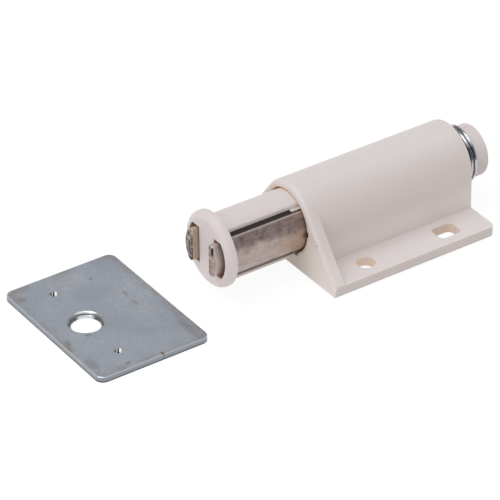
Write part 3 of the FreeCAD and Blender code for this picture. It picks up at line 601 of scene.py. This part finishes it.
# A punch mark is painted with stripes of highlight and shade across it, from one side to the other
STRIPES_TOWARDS = (0.557, 0.830)
PUNCH_SHADE_STRIPE = (0.100, 0.090, 0.085)
PUNCH_GLINT_AND_SHADE_STRIPES = (
    (-0.52, -0.44, (0.600, 0.580, 0.560)), (-0.28, -0.20, (0.020, 0.016, 0.014)),
    (0.04, 0.12, (1.0, 1.0, 1.0)), (0.50, 0.62, (0.270, 0.260, 0.255)))


def zinc_plate():
    look = Surface("zinc_plate")
    x, y, z = look.place()
    upright = look.math("ABSOLUTE", look.direction()[2])
    cloud = look.noise(9.0, 0.0, 4.0, 0.6)
    stain = look.noise(4.5, 4.0, 6.0, 0.7)
    speck = look.noise(0.9, 8.0, 4.0, 0.6)
    crystal = look.noise(0.35, 1.0, 4.0, 0.65)
    scratch = look.noise(0.22, 6.0, 2.0, 0.5, stretch=(1.0, 0.05, 1.0))
    colour = look.two_tone(cloud, *ZINC)
    colour = look.paint(colour, ZINC_CRYSTAL, look.rise(crystal, 0.35, 0.65, 0.8))
    colour = look.paint(colour, ZINC_STAIN, look.rise(stain, 0.56, 0.68, 0.6))
    colour = look.paint(colour, ZINC_SPECK, look.rise(speck, 0.66, 0.74, 0.45))
    colour = look.paint(colour, ZINC_SCRATCH, look.rise(scratch, 0.66, 0.74, 0.35))

    # the sheared edges are darker, with a painted shadow line along their foot, and a painted highlight makes the
    # rounded rim bright
    sheared = look.mix(look.rise(z, *EDGE_FOOT_HEIGHT), EDGE_FOOT_SHADOW, EDGE_FACE)
    colour = look.mix(look.fall(upright, 0.15, 0.45), colour, sheared)
    rim = look.product(look.rise(upright, 0.40, 0.60), look.fall(upright, 0.88, 0.96))
    colour = look.paint(colour, EDGE_RIM_HIGHLIGHT, rim, 0.7)

    # brown stains gather along the plate's border, and dirt along its rear edge
    from_middle = look.math("SUBTRACT", x, PLATE_X), look.math("SUBTRACT", y, PLATE_Y)
    aside, along = (look.math("ABSOLUTE", distance) for distance in from_middle)
    border = look.math("MAXIMUM", look.rise(aside, *BORDER_ASIDE), look.rise(along, *BORDER_ALONG))
    stained = look.product(look.rise(stain, 0.42, 0.62, 0.75), look.rise(upright, 0.93, 0.98))
    colour = look.paint(colour, BORDER_BROWN, border, stained)
    rear_edge = look.rise(y, PLATE_HIGH[1] - 0.50, PLATE_HIGH[1] - 0.25)
    colour = look.paint(colour, REAR_LINE, rear_edge, look.rise(x, *REAR_LINE_ASIDE, 0.8))
    for centre, size, share in PLATE_MARKS:
        colour = look.blot(colour, MARK_BROWN, share, *from_middle, centre, size)

    # the screw's sink is painted dark with shade at its sides and has painted highlights as bright rings at the
    # far side
    from_hole = look.math("SUBTRACT", x, STRIKE_X), look.math("SUBTRACT", y, STRIKE_Y)
    distance = look.length(*from_hole)
    rings = look.bands(SINK_INNER_HIGHLIGHT, distance, SINK_LIGHT_AND_SHADE_RINGS)
    far_side = look.math("DIVIDE", look.towards(SINK_FAR_SIDE, *from_hole), distance)
    sides = look.paint(colour, SINK_SHADE, look.fall(distance, STRIKE_RADIUS + 0.1, SINK_RADIUS - 0.05, 0.9))
    sink = look.mix(look.rise(far_side, *SINK_FAR_ENOUGH), sides, rings)
    colour = look.mix(look.fall(distance, SINK_RADIUS, SINK_RADIUS + 0.06), colour, sink)

    # each punch mark is painted black with shade in its middle and bright with a highlight beside that
    metal = 0.85
    for offset in (PUNCH_OFFSET, -PUNCH_OFFSET):
        from_punch = look.math("SUBTRACT", from_hole[0], offset), from_hole[1]
        mark = look.fall(look.length(*from_punch), PUNCH_RADIUS - 0.02, PUNCH_RADIUS + 0.02)
        stripes = look.bands(PUNCH_SHADE_STRIPE, look.towards(STRIPES_TOWARDS, *from_punch), PUNCH_GLINT_AND_SHADE_STRIPES)
        colour = look.mix(mark, colour, stripes)
        metal = look.product(metal, look.fall(mark, 0.0, 1.0))

    # punched and pressed places are burnished
    level = look.rise(upright, 0.90, 0.99)
    burnish = look.spread(level, 0.0, 1.0, 0.22, 0.42)
    fine = look.bump(crystal, 0.18, 0.00004)
    return look.shade({"Base Color": colour, "Metallic": metal,
                       "Roughness": look.math("ADD", look.vary(cloud, 0.0, 0.10), burnish),
                       "Normal": look.bump(scratch, 0.15, 0.00003, fine)})


# Dressing the CAD nodes

plunger_look = plunger_plastic()
steel_look = pole_steel()
wire_look = spring_steel()
looks = {
    "housing": housing_plastic(), "plunger_carrier": plunger_look, "plunger_sleeve": plunger_look,
    "pole_plate_left": steel_look, "pole_plate_right": steel_look, "magnet": ferrite(),
    "cam_follower": wire_look, "strike_plate": zinc_plate()}
for name, look in looks.items():
    nodes[name].data.materials.clear()
    nodes[name].data.materials.append(look)


# Spring

# the spring is cut at the lip's front into the coils between the plunger's shoulder and the lip, which get a mesh
# of their own, and the end that has passed the lip; on the latch the coils close up as the plunger is pushed in,
# and the end stays as it is
LIP = slide["deforming_nodes"][0]["fixed_end_y_m"]
MERGE_DISTANCE = 1e-7
SHARP_ANGLE = radians(50.0)


def spring_piece(name, inner):
    """The side of the CAD spring that lies inside or behind the lip's front, closed at the cut."""
    cut = bmesh.new()
    cut.from_mesh(nodes["spring"].data)
    bmesh.ops.remove_doubles(cut, verts=cut.verts[:], dist=MERGE_DISTANCE)
    parts = cut.verts[:] + cut.edges[:] + cut.faces[:]
    bmesh.ops.bisect_plane(cut, geom=parts, plane_co=(0.0, LIP, 0.0), plane_no=(0.0, 1.0, 0.0),
                           clear_outer=inner, clear_inner=not inner)
    bmesh.ops.holes_fill(cut, edges=[edge for edge in cut.edges if edge.is_boundary], sides=0)
    mesh = bpy.data.meshes.new(name)
    cut.to_mesh(mesh)
    cut.free()
    mesh.shade_smooth()
    mesh.set_sharp_from_angle(angle=SHARP_ANGLE)
    mesh.materials.append(wire_look)
    made = bpy.data.objects.new(name, mesh)
    scene.collection.objects.link(made)
    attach(made, "base")
    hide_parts("spring")
    return made


spring_piece("spring_end", False)
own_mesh(spring_piece("spring_coils", True))


# Floor and backdrop

FLOOR_SIZE = 6.0
FLOOR_DROP = 0.0002
FLOOR_WHITE = (0.94, 0.94, 0.94)
FLOOR_GLOW = 1.04
GLOW_SHARE = 0.88
WHITE = (1.0, 1.0, 1.0)
SKY_LIGHT = 0.64


def floor_material():
    """White to the camera and in reflections, with a share that takes the object's shadow."""
    look = Surface("floor_white")
    look.shade({"Base Color": FLOOR_WHITE, "Roughness": 0.9})
    ray = look.add("ShaderNodeLightPath", {}).outputs
    mirrored = look.math("MAXIMUM", ray["Is Glossy Ray"], ray["Is Transmission Ray"])
    share = look.product(look.math("MAXIMUM", ray["Is Camera Ray"], mirrored), GLOW_SHARE)
    glow = look.add("ShaderNodeEmission", {"Color": WHITE, "Strength": FLOOR_GLOW})
    both = look.add("ShaderNodeMixShader", {0: share, 1: look.shader.outputs[0], 2: glow.outputs[0]})
    look.connect(both.outputs[0], look.tree.nodes["Material Output"].inputs["Surface"])
    return look.material


bpy.ops.mesh.primitive_plane_add(size=FLOOR_SIZE, location=(0.0, 0.0, -FLOOR_DROP))
floor = bpy.context.object
floor.name = "floor"
floor.data.materials.append(floor_material())

studio = bpy.data.worlds.new("studio")
scene.world = studio
studio.use_nodes = True
sky = Graph(studio.node_tree)
sky_ray = sky.add("ShaderNodeLightPath", {}).outputs
seen = sky.math("MAXIMUM", sky_ray["Is Camera Ray"], sky_ray["Is Transmission Ray"])
backdrop = sky.tree.nodes["Background"]
sky.connect(WHITE, backdrop.inputs["Color"])
sky.connect(sky.spread(seen, 0.0, 1.0, SKY_LIGHT, 1.0), backdrop.inputs["Strength"])


# Lamps

def lamp(name, place, target, size, power):
    """A rectangular lamp that looks from its place at the target; power in watts."""
    light = bpy.data.lights.new(name, "AREA")
    light.shape = "RECTANGLE"
    light.size, light.size_y = size
    light.energy = power
    made = bpy.data.objects.new(name, light)
    scene.collection.objects.link(made)
    made.location = place
    aim = Vector(target) - Vector(place)
    made.rotation_euler = aim.to_track_quat("-Z", "Y").to_euler()


lamp("key_light", place=(-0.08, -0.42, 1.35), target=(0.0, 0.0, 0.0), size=(1.0, 1.0), power=6.4)
lamp("fill_light", place=(0.1, -1.1, 0.4), target=(0.0, 0.0, 0.01), size=(0.8, 0.6), power=1.3)


# Camera, as fitted to the photograph: angles in degrees, lengths in metres

AZIMUTH, ELEVATION, ROLL = 56.1342, 33.4931, -0.7559
DISTANCE = 0.6993841
SUBJECT = Vector((0.0, 0.0, 0.008))
SHIFT_RIGHT, SHIFT_UP = -0.007488, -0.0044688
SENSOR_MM, LENS_MM = 36.0, 252.0

azimuth, elevation, roll = radians(AZIMUTH), radians(ELEVATION), radians(ROLL)
back = Vector((sin(azimuth) * cos(elevation), -cos(azimuth) * cos(elevation), sin(elevation)))
right = Vector((cos(azimuth), sin(azimuth), 0.0))
up = back.cross(right)
standpoint = SUBJECT + SHIFT_RIGHT * right + SHIFT_UP * up + DISTANCE * back
rolled_right = right * cos(roll) + up * sin(roll)
rolled_up = up * cos(roll) - right * sin(roll)
turn = Matrix((rolled_right, rolled_up, back)).transposed()

camera = bpy.data.objects.new("camera", bpy.data.cameras.new("camera"))
scene.collection.objects.link(camera)
camera.data.sensor_width = SENSOR_MM
camera.data.lens = LENS_MM
camera.data.clip_start = 0.01
camera.matrix_world = Matrix.Translation(standpoint) @ turn.to_4x4()
scene.camera = camera

scene.view_settings.view_transform = "Standard"

bpy.context.view_layer.update()
